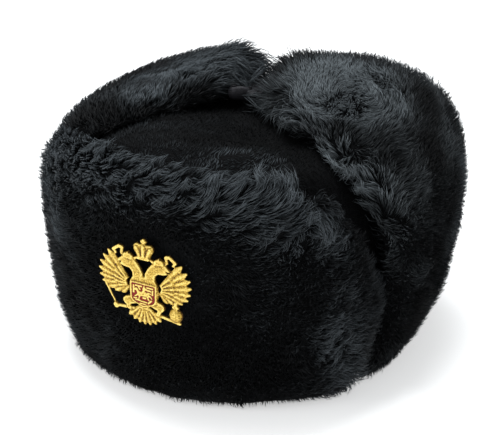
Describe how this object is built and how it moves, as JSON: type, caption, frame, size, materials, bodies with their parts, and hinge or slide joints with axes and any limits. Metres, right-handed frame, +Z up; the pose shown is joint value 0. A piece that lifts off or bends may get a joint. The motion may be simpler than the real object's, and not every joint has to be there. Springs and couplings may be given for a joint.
{
  "type": "ushanka",
  "caption": "Black fur cap with a soft crown, a turned-up front flap with a cast gilt badge, and ear and nape flaps turned up and tied over the crown.",
  "frame": {"origin": "centre of the head opening, at the level of the rim that the cap rests on", "axes": "+Z up through the crown, -Y towards the front flap and the badge, +X towards the wearer's left ear"},
  "size_m": [0.2413, 0.2874, 0.1703],
  "materials": {
    "plush": "short dense pile, soft and matt, with a blue-grey sheen on the folds",
    "fur": "deep black pile in locks, with a blue-grey sheen where it lies sideways",
    "ribbon": "black satin ribbon",
    "gilt": "stamped and gilt, darker in the recesses",
    "enamel": "glossy dark red enamel"
  },
  "bodies": {
    "root": {"crown": "plush", "front_flap": "fur", "left_ear_flap": "fur", "nape_flap": "fur", "right_ear_flap": "fur", "left_tie": "ribbon", "right_tie": "ribbon", "tie_knot": "ribbon", "badge_eagle": "gilt", "badge_shield": "enamel"}
  },
  "joints": []
}
